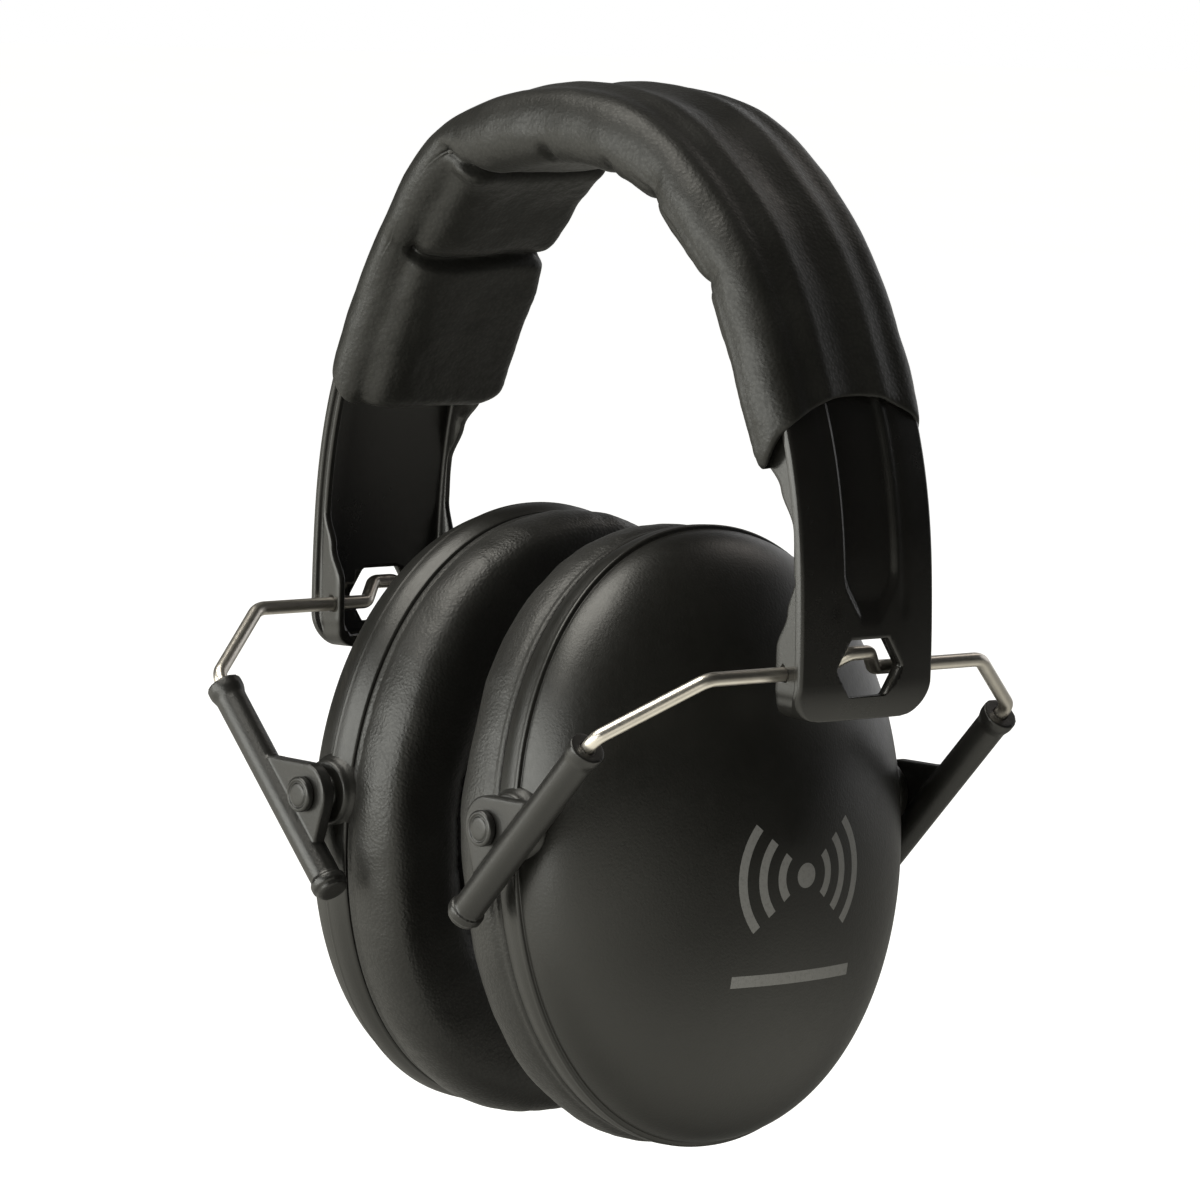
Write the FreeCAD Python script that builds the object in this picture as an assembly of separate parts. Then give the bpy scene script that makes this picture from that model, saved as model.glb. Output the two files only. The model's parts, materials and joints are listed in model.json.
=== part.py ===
import FreeCAD, Part
import os, math

os.makedirs("parts", exist_ok=True)
V = FreeCAD.Vector

# Folding hearing protection earmuffs. Units: mm. +Z up, +X towards the right
# cup, -Y towards the front. Origin: where the padded headband rests on the
# crown of the head (lowest point of the pad's arch, mid width).

# ---------------- driving dimensions ----------------
# headband
BAND_CZ = -58.23          # centre height of the arch's polar layout
BAND_R = [(0, 63.8), (15, 62.9), (30, 63.3), (45, 65.8), (60, 68.3), (75, 69.5), (90, 69.6)]
ARM_PTS = [(64.35, -86.3), (64.57, -78.44), (64.4, -68.0)]   # outer face, lower arm
ARM_HALF = 14.6           # half width of the moulded band
WALL = 2.2                # wall of the band
FLANGE_T = 2.0            # side flange thickness
FLANGE_DEPTH = [(0, 7.6), (6, 8.0), (12, 8.0), (18, 5.6), (25, 3.7), (32, 3.4), (39, 5.6),
                (46, 8.6), (56, 8.8), (66, 6.0), (76, 4.2), (90, 4.0)]
END_WALL = 2.0            # wall that closes the bottom of each arm
CORNER_R = 5.0            # rounded lower corners of each arm
WIN_W, WIN_TOP, WIN_BOT = 14.0, 5.4, 3.9   # window for the yoke wire's kink
GROOVE_HALF, GROOVE_D = 4.6, 0.7           # shallow groove down the arm's face
# padded cover
COVER_T = 1.25
PAD_T = 12.62             # total thickness of cover + band + pad
COVER_HALF = 16.75
COVER_END_S = 47.0        # arc length from the arm's bottom end to the cover's end
COVER_END_SAG = 5.0       # how far the cover's outer end edge bows up mid width
# yoke wire
WIRE_R = 1.2
WIRE_CLEAR = 0.05
YOKE_X, YOKE_Z = 58.71, -78.44
LEG_ANGLE = 225.6         # direction of the legs in the XZ plane, degrees
YOKE_BEND_Y = 30.0
LEG_Y = 45.5
LEG_CORNER_S = 13.4
LEG_END_S = 57.0
KINK_H, KINK_BASE, KINK_TOP = 4.2, 6.0, 2.2
# sleeves
SLV_R, SLV_TOP_S, SLV_BOT_S = 2.7, 15.7, 59.8
COLLAR_R = 3.1
SLV_BORE_END_S = 58.3
EYE_R, EYE_Y0, EYE_Y1 = 5.3, 44.3, 46.7
# pivot
PIN_X, PIN_Z = 23.83, -105.40
PIN_R, PIN_CLEAR = 1.75, 0.05
HEAD_R, HEAD_Y0, HEAD_Y1 = 3.0, 46.9, 48.2
PIN_IN_Y = 40.8
BOSS_R, BOSS_Y = 5.5, 42.3
NECK_R, NECK_Y = 3.0, 44.0
BORE_IN_Y = 40.6
# cups
CUP_Z = -110.0
CUP_HZ = 52.0             # half height
CUP_HY = 41.3             # half width
RIM_X = 19.66             # rim plane
BAND_X = 24.7             # end of the rim band, start of the dome
DOME_T = 22.5
DOME_P = 1.5
DOME_R = 51.2
SHELL_W = 2.3
FOAM_X = 28.0             # face of the acoustic foam
PLATE_X0, PLATE_X1 = 19.75, 21.75
CUSH_X0, CUSH_X1 = 7.66, 19.60
CUSH_OZ, CUSH_OY = 51.3, 40.7
CUSH_IZ, CUSH_IY = 30.0, 23.6
SKIN_T = 0.8
CUP_TILT = 3.5            # both cups rest with their tops leaning inwards


# ---------------- helpers ----------------
def lerp(table, s):
    if s <= table[0][0]:
        return table[0][1]
    for (a, fa), (b, fb) in zip(table, table[1:]):
        if s <= b:
            t = (s - a) / (b - a)
            t = t * t * (3 - 2 * t)
            return fa + (fb - fa) * t
    return table[-1][1]


right_half = [V(x, 0, z) for x, z in ARM_PTS]
for a, r in BAND_R:
    right_half.append(V(r * math.cos(math.radians(a)), 0, BAND_CZ + r * math.sin(math.radians(a))))
path_pts = right_half + [V(-p.x, 0, p.z) for p in reversed(right_half[:-1])]
path = Part.BSplineCurve()
path.interpolate(path_pts)
PATH_L = path.length()


def station(s):
    """Point and outward normal of the band's outer face at arc length s."""
    u = path.parameterAtDistance(s, path.FirstParameter) if s > 1e-9 else path.FirstParameter
    p = path.value(u)
    t = path.tangent(u)[0]
    n = V(t.z, 0, -t.x)
    if n.dot(p - V(0, 0, BAND_CZ)) < 0:
        n = n.multiply(-1)
    return p, n


def offset_pts(off, s0, s1):
    n = max(5, int(round((s1 - s0) / 5.0)))
    out = []
    for i in range(n + 1):
        s = s0 + (s1 - s0) * i / n
        p, nn = station(min(max(s, 0.0), PATH_L))
        d = off(min(s, PATH_L - s)) if callable(off) else off
        out.append(p + nn * d)
    return out


def strip(out_off, in_off, s0, s1, y0, y1):
    """Solid between two offsets of the band's outer face, y0 to y1."""
    a = offset_pts(out_off, s0, s1)
    b = offset_pts(in_off, s0, s1)
    ca, cb = Part.BSplineCurve(), Part.BSplineCurve()
    ca.interpolate(a)
    cb.interpolate(b)
    edges = [ca.toShape(), Part.makeLine(a[-1], b[-1]), cb.toShape(), Part.makeLine(b[0], a[0])]
    w = Part.Wire(Part.__sortEdges__(edges))
    f = Part.Face(w)
    f.translate(V(0, y0, 0))
    return f.extrude(V(0, y1 - y0, 0))


def try_fillet(shape, r, pick, label):
    es = [e for e in shape.Edges if pick(e)]
    if not es:
        print("no edges for", label)
        return shape
    try:
        out = shape.makeFillet(r, es)
        if out.isValid() and abs(out.Volume) > 0:
            return out
        print("invalid fillet", label)
    except Exception as ex:
        print("fillet failed", label, ex)
    return shape


def mirror_x(shape):
    return shape.mirror(V(0, 0, 0), V(1, 0, 0))


def ellipse_prism(hz, hy, x0, x1, cz=CUP_Z):
    # major axis along Z, minor along Y, in a plane of constant X
    e = Part.Ellipse(V(x0, 0, cz + hz), V(x0, hy, cz), V(x0, 0, cz))
    f = Part.Face(Part.Wire([e.toShape()]))
    return f.extrude(V(x1 - x0, 0, 0))


def one_solid(shape, label):
    sol = shape.Solids
    print(label, "solids", len(sol), "vol %.1f" % shape.Volume, "valid", shape.isValid())
    if len(sol) == 1:
        return sol[0]
    return shape


SHAPES = {}

# ---------------- headband frame ----------------
depth = lambda s: -lerp(FLANGE_DEPTH, s)
wall = strip(0.0, -WALL, 0.0, PATH_L, -ARM_HALF, ARM_HALF)
fl_f = strip(0.0, depth, 0.0, PATH_L, -ARM_HALF, -ARM_HALF + FLANGE_T)
fl_r = strip(0.0, depth, 0.0, PATH_L, ARM_HALF - FLANGE_T, ARM_HALF)
end_r = strip(0.0, depth, 0.0, END_WALL, -ARM_HALF, ARM_HALF)
end_l = strip(0.0, depth, PATH_L - END_WALL, PATH_L, -ARM_HALF, ARM_HALF)
frame_raw = wall.fuse([fl_f, fl_r, end_r, end_l]).removeSplitter()

# rounded lower corners: remove what lies outside a quarter cylinder
z_end = min(frame_raw.BoundBox.ZMin, -86.0)
for sx in (1, -1):
    for sy in (1, -1):
        yb = sy * ARM_HALF
        zc = z_end + CORNER_R
        x0 = 50.0 if sx > 0 else -70.0
        box = Part.makeBox(20, CORNER_R + 2, CORNER_R + 2,
                           V(x0, min(yb + sy * 2, yb - sy * CORNER_R), z_end - 2))
        cyl = Part.makeCylinder(CORNER_R, 20, V(x0, yb - sy * CORNER_R, zc), V(1, 0, 0))
        keep = Part.makeBox(20, CORNER_R * 2, 60, V(x0, min(yb - sy * CORNER_R, yb - sy * CORNER_R - sy * CORNER_R * 2), z_end - 2))
        frame_raw = frame_raw.cut(box.cut(cyl))

# round the long outer edges
def long_outer(e):
    bb = e.BoundBox
    return e.Length > 150 and abs(abs(bb.YMin) - ARM_HALF) < 0.05 and abs(bb.YMax - bb.YMin) < 0.05 and bb.ZMax > 10.5
frame_round = try_fillet(frame_raw, 0.9, long_outer, "frame long edges")

frame = frame_round
for s in (1, -1):
    # window for the wire's kink
    pts = [(-WIN_W / 2, 0.8), (-4.0, WIN_TOP), (4.0, WIN_TOP), (WIN_W / 2, 0.8), (4.0, -WIN_BOT), (-4.0, -WIN_BOT)]
    poly = Part.makePolygon([V(s * 60.6, y, YOKE_Z + z) for y, z in pts + pts[:1]])
    frame = frame.cut(Part.Face(poly).extrude(V(s * 10.0, 0, 0)))
    # wire holes through both flanges
    frame = frame.cut(Part.makeCylinder(WIRE_R + WIRE_CLEAR, 40, V(s * YOKE_X, -20, YOKE_Z), V(0, 1, 0)))
# shallow groove down the outer face of each arm
groove_r = strip(2.0, -GROOVE_D, 17.0, COVER_END_S + 10.0, -GROOVE_HALF, GROOVE_HALF)
for g in (groove_r, mirror_x(groove_r)):
    frame = frame.cut(g)
SHAPES["headband_frame"] = one_solid(frame, "headband_frame")

# ---------------- padded cover and pad ----------------
s0, s1 = COVER_END_S, PATH_L - COVER_END_S
cover_out = strip(COVER_T, COVER_T - PAD_T, s0, s1, -COVER_HALF, COVER_HALF)

def side_edges(e, out_side):
    bb = e.BoundBox
    if not (e.Length > 100 and abs(bb.YMax - bb.YMin) < 0.05 and abs(abs(bb.YMin) - COVER_HALF) < 0.05):
        return False
    return (bb.ZMax > 8.0) == out_side
cover_out = try_fillet(cover_out, 2.2, lambda e: side_edges(e, True), "cover outer edges")
cover_out = try_fillet(cover_out, 4.0, lambda e: side_edges(e, False), "cover inner edges")
cav_half = COVER_HALF - COVER_T
cavity = strip(-0.05, 2 * COVER_T - PAD_T, s0, s1, -cav_half, cav_half)

def cav_edges(e):
    bb = e.BoundBox
    return e.Length > 100 and abs(bb.YMax - bb.YMin) < 0.05 and abs(abs(bb.YMin) - cav_half) < 0.05 and bb.ZMax < 5.0
cavity = try_fillet(cavity, 2.8, cav_edges, "cavity edges")
cover = cover_out.cut(cavity).cut(frame_round)
# the cover's outer end edges bow upwards across the arm
R_sag = (COVER_HALF ** 2 + COVER_END_SAG ** 2) / (2 * COVER_END_SAG)
p_end, n_end = station(COVER_END_S)
arc_cyl = Part.makeCylinder(R_sag, 80, V(20, 0, p_end.z + 6.2 - R_sag), V(1, 0, 0))
arc_tool = strip(4.0, -0.3, COVER_END_S - 3.0, COVER_END_S + 10.0, -COVER_HALF - 1, COVER_HALF + 1).common(arc_cyl)
cover = cover.cut(arc_tool).cut(mirror_x(arc_tool))
SHAPES["headband_cover"] = one_solid(cover, "headband_cover")

pad = cavity.cut(frame_round)
pad_sol = sorted(pad.Solids, key=lambda q: -q.Volume)
print("pad solids", [round(q.Volume, 1) for q in pad_sol])
SHAPES["headband_pad"] = pad_sol[0]

# ---------------- yoke wires ----------------
ux, uz = math.cos(math.radians(LEG_ANGLE)), math.sin(math.radians(LEG_ANGLE))
U = V(ux, 0, uz)                 # along the legs, away from the arm
def yp(y, s):
    return V(YOKE_X + ux * s, y, YOKE_Z + uz * s)

def rounded_path(pts, radii):
    edges = []
    cur = pts[0]
    for i in range(1, len(pts) - 1):
        a, b, c = pts[i - 1], pts[i], pts[i + 1]
        d1 = (b - a).normalize()
        d2 = (c - b).normalize()
        ang = d1.getAngle(d2)
        t = radii[i - 1] * math.tan(ang / 2)
        q1 = b - d1 * t
        q2 = b + d2 * t
        bis = (d2 - d1).normalize()
        centre = b + bis * (radii[i - 1] / math.cos(ang / 2))
        mid = centre - bis * radii[i - 1]
        edges.append(Part.makeLine(cur, q1))
        edges.append(Part.Arc(q1, mid, q2).toShape())
        cur = q2
    edges.append(Part.makeLine(cur, pts[-1]))
    return Part.Wire(edges)

yoke_pts = [(-LEG_Y, LEG_END_S), (-LEG_Y, LEG_CORNER_S), (-YOKE_BEND_Y, 0), (-KINK_BASE, 0),
            (-KINK_TOP, -KINK_H), (KINK_TOP, -KINK_H), (KINK_BASE, 0), (YOKE_BEND_Y, 0),
            (LEG_Y, LEG_CORNER_S), (LEG_Y, LEG_END_S)]
yoke_radii = [3.5, 4.5, 2.0, 2.0, 2.0, 2.0, 4.5, 3.5]
wpath = rounded_path([yp(y, s) for y, s in yoke_pts], yoke_radii)
prof = Part.Wire([Part.Circle(yp(-LEG_Y, LEG_END_S), U, WIRE_R).toShape()])
wire = wpath.makePipeShell([prof], True, False)
SHAPES["yoke_wire_right"] = one_solid(wire, "yoke_wire_right")

# ---------------- sleeves ----------------
W_DIR = V(uz, 0, -ux)            # from the sleeve's axis towards the pivot eye
if W_DIR.dot(V(PIN_X, 0, PIN_Z) - yp(0, 40)) < 0:
    W_DIR = W_DIR * -1
rel = V(PIN_X - YOKE_X, 0, PIN_Z - YOKE_Z)
PIN_S = rel.dot(U)
PIN_OFF = rel.dot(W_DIR)
print("pin s %.2f off %.2f" % (PIN_S, PIN_OFF))

def sleeve(sy):
    y = sy * LEG_Y
    body = Part.makeCylinder(SLV_R, SLV_BOT_S - SLV_TOP_S, yp(y, SLV_TOP_S), U)
    body = body.fuse(Part.makeCone(COLLAR_R, SLV_R, 2.6, yp(y, SLV_TOP_S), U))
    body = body.fuse(Part.makeCylinder(COLLAR_R, 1.4, yp(y, SLV_BOT_S - 2.4), U))
    eye_y = min(sy * EYE_Y0, sy * EYE_Y1)
    th = EYE_Y1 - EYE_Y0
    eye = Part.makeCylinder(EYE_R, th, V(PIN_X, eye_y, PIN_Z), V(0, 1, 0))
    # web from the sleeve to the eye
    pts = [yp(0, PIN_S - 13.4), V(PIN_X + 0.6, 0, PIN_Z + EYE_R), V(PIN_X, 0, PIN_Z),
           V(PIN_X, 0, PIN_Z) + U * 4.6 + W_DIR * 2.6, yp(0, PIN_S + 9.0)]
    web = Part.Face(Part.makePolygon(pts + pts[:1]))
    web.translate(V(0, eye_y, 0))
    web = web.extrude(V(0, th, 0))
    body = body.fuse([eye, web])
    body = body.cut(Part.makeCylinder(PIN_R + PIN_CLEAR, 12, V(PIN_X, min(sy * 40, sy * 52), PIN_Z), V(0, 1, 0)))
    body = body.cut(Part.makeCylinder(WIRE_R + WIRE_CLEAR, SLV_BORE_END_S - SLV_TOP_S + 1.0, yp(y, SLV_TOP_S - 1.0), U))
    return body.removeSplitter()
SHAPES["sleeve_front_right"] = one_solid(sleeve(-1), "sleeve_front_right")
SHAPES["sleeve_rear_right"] = one_solid(sleeve(1), "sleeve_rear_right")

# ---------------- pivot pins ----------------
def pin(sy):
    d = V(0, -sy, 0)
    head = Part.makeCylinder(HEAD_R, HEAD_Y1 - HEAD_Y0, V(PIN_X, sy * HEAD_Y1, PIN_Z), d)
    shaft = Part.makeCylinder(PIN_R, HEAD_Y1 - PIN_IN_Y, V(PIN_X, sy * HEAD_Y1, PIN_Z), d)
    ring = Part.makeCylinder(HEAD_R - 0.7, 0.35, V(PIN_X, sy * HEAD_Y1, PIN_Z), d).cut(
        Part.makeCylinder(HEAD_R - 1.2, 0.35, V(PIN_X, sy * HEAD_Y1, PIN_Z), d))
    return head.fuse(shaft).removeSplitter().cut(ring)
SHAPES["pivot_pins_right"] = Part.makeCompound([pin(-1).Solids[0], pin(1).Solids[0]])

# ---------------- cups ----------------
def dome_profile(x0, x_lead, r_lead, x1, r, t, p):
    """Closed half profile: rim at x0, lead radius to x_lead, dome from x1 with radius r and height t."""
    pts = []
    n = 14
    for i in range(n + 1):
        v = math.sin(math.radians(90.0 * i / n))
        k = max(0.0, 1 - v * v) ** (1.0 / p)
        pts.append(V(x1 + t * v, 0, CUP_Z + r * k))
    c = Part.BSplineCurve()
    c.interpolate(Points=pts, InitialTangent=V(1, 0, 0), FinalTangent=V(0, 0, -1))
    es = [Part.makeLine(V(x0, 0, CUP_Z), V(x0, 0, CUP_Z + r_lead)),
          Part.makeLine(V(x0, 0, CUP_Z + r_lead), V(x_lead, 0, CUP_Z + r_lead))]
    q = V(x_lead, 0, CUP_Z + r_lead)
    if abs(x_lead - x1) > 1e-6:
        es.append(Part.makeLine(q, V(x_lead, 0, CUP_Z + r)))
        es.append(Part.makeLine(V(x_lead, 0, CUP_Z + r), V(x1, 0, CUP_Z + r)))
    elif abs(r_lead - r) > 1e-6:
        es.append(Part.makeLine(q, V(x1, 0, CUP_Z + r)))
    es.append(c.toShape())
    es.append(Part.makeLine(V(x1 + t, 0, CUP_Z), V(x0, 0, CUP_Z)))
    return Part.Face(Part.Wire(es))

SC = CUP_HY / CUP_HZ
def oval(solid):
    m = FreeCAD.Matrix()
    m.scale(V(1, SC, 1))
    return solid.transformGeometry(m)

def rev(face):
    return face.revolve(V(0, 0, CUP_Z), V(1, 0, 0), 360)

outer = oval(rev(dome_profile(RIM_X, BAND_X, CUP_HZ, BAND_X, DOME_R, DOME_T, DOME_P)))
inner = oval(rev(dome_profile(RIM_X - 1.0, 22.4, CUP_HZ - 2.6, BAND_X, DOME_R - SHELL_W, DOME_T - SHELL_W, DOME_P)))
boss = None
for sy in (-1, 1):
    b1 = Part.makeCylinder(BOSS_R, BOSS_Y - 37.5, V(PIN_X, min(sy * 37.5, sy * BOSS_Y), PIN_Z), V(0, 1, 0))
    b2 = Part.makeCylinder(NECK_R, NECK_Y - 39.0, V(PIN_X, min(sy * 39.0, sy * NECK_Y), PIN_Z), V(0, 1, 0))
    b = b1.fuse(b2)
    boss = b if boss is None else boss.fuse(b)
boss = boss.common(Part.makeBox(60, 120, 60, V(RIM_X, -60, PIN_Z - 30)))
shell = outer.fuse(boss).cut(inner)
for sy in (-1, 1):
    shell = shell.cut(Part.makeCylinder(PIN_R + PIN_CLEAR, 20, V(PIN_X, min(sy * BORE_IN_Y, sy * (BORE_IN_Y + 20)), PIN_Z), V(0, 1, 0)))
SHAPES["cup_shell_right"] = one_solid(shell, "cup_shell_right")

foam_in = oval(rev(dome_profile(RIM_X - 1.0, BAND_X, DOME_R - SHELL_W - 0.3, BAND_X, DOME_R - SHELL_W - 0.3, DOME_T - SHELL_W - 0.3, DOME_P)))
liner = foam_in.common(Part.makeBox(60, 140, 140, V(FOAM_X, -70, CUP_Z - 70)))
SHAPES["acoustic_foam_right"] = one_solid(liner, "acoustic_foam_right")

plate = ellipse_prism(49.2, 38.85, PLATE_X0, PLATE_X1).cut(ellipse_prism(31.0, 24.4, PLATE_X0 - 1, PLATE_X1 + 1))
SHAPES["cushion_plate_right"] = one_solid(plate, "cushion_plate_right")

def cushion(inset, x0, x1, r_out, r_in):
    o = ellipse_prism(CUSH_OZ - inset, CUSH_OY - inset, x0, x1)
    o = try_fillet(o, r_out, lambda e: abs(e.BoundBox.XMax - x0) < 0.01 and e.Length > 50, "cushion outer")
    i = ellipse_prism(CUSH_IZ + inset, CUSH_IY + inset, x0 - 1, x1 + 1)
    ring = o.cut(i)
    ring = try_fillet(ring, r_in, lambda e: abs(e.BoundBox.XMax - x0) < 0.01 and 50 < e.Length < 220 and abs(e.BoundBox.ZMax - (CUP_Z + CUSH_IZ + inset)) < 0.05, "cushion inner")
    return ring
cush = cushion(0.0, CUSH_X0, CUSH_X1, 5.5, 4.0)
cush_in = cushion(SKIN_T, CUSH_X0 + SKIN_T, CUSH_X1, 4.7, 3.2)
ring_cut = cushion(SKIN_T, CUSH_X0 + SKIN_T, CUSH_X1 + 1.0, 4.7, 3.2)
skin = cush.cut(ring_cut)
SHAPES["ear_cushion_skin_right"] = one_solid(skin, "ear_cushion_skin_right")
SHAPES["ear_cushion_foam_right"] = one_solid(cush_in, "ear_cushion_foam_right")

# lean each cup about its pivot axis
for n in ("cup_shell_right", "acoustic_foam_right", "cushion_plate_right", "ear_cushion_skin_right", "ear_cushion_foam_right"):
    sh = SHAPES[n].copy()
    sh.rotate(V(PIN_X, 0, PIN_Z), V(0, 1, 0), -CUP_TILT)
    SHAPES[n] = sh

# ---------------- left side ----------------
for n in list(SHAPES):
    if n.endswith("_right"):
        SHAPES[n.replace("_right", "_left")] = mirror_x(SHAPES[n])

for n, sh in SHAPES.items():
    sh.exportStep("parts/%s.step" % n)
    bb = sh.optimalBoundingBox(False, False)
    print("%-24s solids %d  x %.2f %.2f  y %.2f %.2f  z %.2f %.2f  vol %.1f %s" % (
        n, len(sh.Solids), bb.XMin, bb.XMax, bb.YMin, bb.YMax, bb.ZMin, bb.ZMax, sh.Volume, sh.isValid()))
print("path length %.2f" % PATH_L)
for s in range(0, 120, 10):
    p, n = station(float(s))
    print("s %d  x %.2f z %.2f  n %.3f %.3f" % (s, p.x, p.z, n.x, n.z))
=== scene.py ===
import json
import math

import bmesh
import bpy
import numpy as np
from mathutils import Matrix, Vector, noise


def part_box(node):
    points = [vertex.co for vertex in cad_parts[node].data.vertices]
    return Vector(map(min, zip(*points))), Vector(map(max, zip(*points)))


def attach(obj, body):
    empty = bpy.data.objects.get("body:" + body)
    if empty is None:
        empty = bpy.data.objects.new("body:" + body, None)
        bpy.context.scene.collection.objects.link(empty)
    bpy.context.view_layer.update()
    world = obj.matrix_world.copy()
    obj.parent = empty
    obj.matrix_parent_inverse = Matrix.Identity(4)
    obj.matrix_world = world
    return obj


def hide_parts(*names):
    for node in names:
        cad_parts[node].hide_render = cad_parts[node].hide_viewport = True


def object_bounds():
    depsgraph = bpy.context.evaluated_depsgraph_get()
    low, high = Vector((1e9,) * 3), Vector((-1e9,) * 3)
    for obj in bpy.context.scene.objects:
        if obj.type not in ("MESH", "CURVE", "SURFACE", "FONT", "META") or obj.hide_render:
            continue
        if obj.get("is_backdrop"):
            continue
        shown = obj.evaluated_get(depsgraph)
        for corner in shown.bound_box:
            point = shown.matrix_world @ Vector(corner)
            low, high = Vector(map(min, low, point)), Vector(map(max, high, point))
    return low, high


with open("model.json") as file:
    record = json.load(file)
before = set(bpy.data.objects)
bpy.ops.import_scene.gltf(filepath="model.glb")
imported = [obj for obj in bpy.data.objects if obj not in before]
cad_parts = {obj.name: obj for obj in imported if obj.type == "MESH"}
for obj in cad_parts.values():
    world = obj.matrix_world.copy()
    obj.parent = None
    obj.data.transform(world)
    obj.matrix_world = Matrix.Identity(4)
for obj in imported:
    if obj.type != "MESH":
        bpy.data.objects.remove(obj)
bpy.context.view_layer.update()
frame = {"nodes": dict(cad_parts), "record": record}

scene = bpy.context.scene
rec = frame["record"]
joints = {j["name"]: j for j in rec["behaviour"]["joints"]}
MM = 0.001


# ------------------------------------------------------------------ helpers
def mesh_obj(name, verts, faces, smooth=True):
    """verts in mm, row frame"""
    me = bpy.data.meshes.new(name)
    me.from_pydata([tuple(float(c) * MM for c in v) for v in verts], [], faces)
    me.validate()
    bm = bmesh.new()
    bm.from_mesh(me)
    bmesh.ops.recalc_face_normals(bm, faces=bm.faces)
    bm.to_mesh(me)
    bm.free()
    me.polygons.foreach_set("use_smooth", [smooth] * len(me.polygons))
    me.update()
    o = bpy.data.objects.new(name, me)
    scene.collection.objects.link(o)
    return o


def grid_faces(n, m, close_n, close_m, base=0):
    """faces of an n x m grid of vertices, row major"""
    f = []
    for i in range(n if close_n else n - 1):
        i2 = (i + 1) % n
        for j in range(m if close_m else m - 1):
            j2 = (j + 1) % m
            f.append((base + i * m + j, base + i * m + j2, base + i2 * m + j2, base + i2 * m + j))
    return f


def loft(name, rings, cap_start=True, cap_end=True, smooth=True):
    """rings: (n, m, 3) array of closed rings in mm"""
    rings = np.asarray(rings, float)
    n, m = rings.shape[:2]
    verts = list(rings.reshape(-1, 3))
    faces = grid_faces(n, m, False, True)
    for flag, idx in ((cap_start, 0), (cap_end, n - 1)):
        if flag:
            c = rings[idx].mean(0)
            verts.append(c)
            k = len(verts) - 1
            for j in range(m):
                faces.append((idx * m + j, idx * m + (j + 1) % m, k))
    return mesh_obj(name, verts, faces, smooth)


def natural_spline(t, p):
    """natural cubic spline through p at t: returns f(x) and its slope"""
    t = np.asarray(t, float)
    p = np.asarray(p, float)
    n = len(t)
    h = np.diff(t)
    A = np.zeros((n, n))
    R = np.zeros_like(p)
    A[0, 0] = A[-1, -1] = 1
    for i in range(1, n - 1):
        A[i, i - 1] = h[i - 1]
        A[i, i] = 2 * (h[i - 1] + h[i])
        A[i, i + 1] = h[i]
        R[i] = 6 * ((p[i + 1] - p[i]) / h[i] - (p[i] - p[i - 1]) / h[i - 1])
    M = np.linalg.solve(A, R)

    def f(x):
        x = np.atleast_1d(np.asarray(x, float))
        i = np.clip(np.searchsorted(t, x) - 1, 0, n - 2)
        a = (t[i + 1] - x) / h[i]
        b = (x - t[i]) / h[i]
        if p.ndim == 2:
            a, b, hh = a[:, None], b[:, None], h[i][:, None]
        else:
            hh = h[i]
        return a * p[i] + b * p[i + 1] + ((a ** 3 - a) * M[i] + (b ** 3 - b) * M[i + 1]) * hh ** 2 / 6
    return f


def smooth01(x, a, b):
    t = np.clip((np.asarray(x, float) - a) / (b - a), 0, 1)
    return t * t * (3 - 2 * t)


def n3(x, y, z, s=1.0):
    return noise.noise(Vector((x * s, y * s, z * s)))


def table(tab, s):
    xs = [a for a, _ in tab]
    ys = [b for _, b in tab]
    s = np.asarray(s, float)
    i = np.clip(np.searchsorted(xs, s) - 1, 0, len(xs) - 2)
    xs, ys = np.array(xs, float), np.array(ys, float)
    t = np.clip((s - xs[i]) / (xs[i + 1] - xs[i]), 0, 1)
    t = t * t * (3 - 2 * t)
    return ys[i] + (ys[i + 1] - ys[i]) * t


def apply_mods(o):
    dg = bpy.context.evaluated_depsgraph_get()
    me = bpy.data.meshes.new_from_object(o.evaluated_get(dg), preserve_all_data_layers=False, depsgraph=dg)
    old = o.data
    o.modifiers.clear()
    o.data = me
    bpy.data.meshes.remove(old)
    me.polygons.foreach_set("use_smooth", [True] * len(me.polygons))
    return o


def boolean(o, tool, op="DIFFERENCE"):
    md = o.modifiers.new("b", "BOOLEAN")
    md.operation = op
    md.solver = "EXACT"
    md.object = tool
    bpy.context.view_layer.update()
    apply_mods(o)
    bpy.data.objects.remove(tool)
    return o


def voxel(o, size, iters=6, factor=0.5):
    md = o.modifiers.new("v", "REMESH")
    md.mode = "VOXEL"
    md.voxel_size = size * MM
    if iters:
        sm = o.modifiers.new("s", "SMOOTH")
        sm.factor = factor
        sm.iterations = iters
    bpy.context.view_layer.update()
    return apply_mods(o)


def cyl_mesh(bm, p0, p1, r0, r1=None, seg=48):
    """closed cone frustum between two points, mm"""
    r1 = r0 if r1 is None else r1
    p0, p1 = Vector(p0) * MM, Vector(p1) * MM
    d = p1 - p0
    q = d.to_track_quat("Z", "Y").to_matrix().to_4x4()
    m = Matrix.Translation((p0 + p1) / 2) @ q
    bmesh.ops.create_cone(bm, cap_ends=True, cap_tris=False, segments=seg, radius1=r0 * MM, radius2=r1 * MM,
                          depth=d.length, matrix=m)


def bm_obj(name, bm):
    me = bpy.data.meshes.new(name)
    bm.to_mesh(me)
    bm.free()
    o = bpy.data.objects.new(name, me)
    scene.collection.objects.link(o)
    return o


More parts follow.
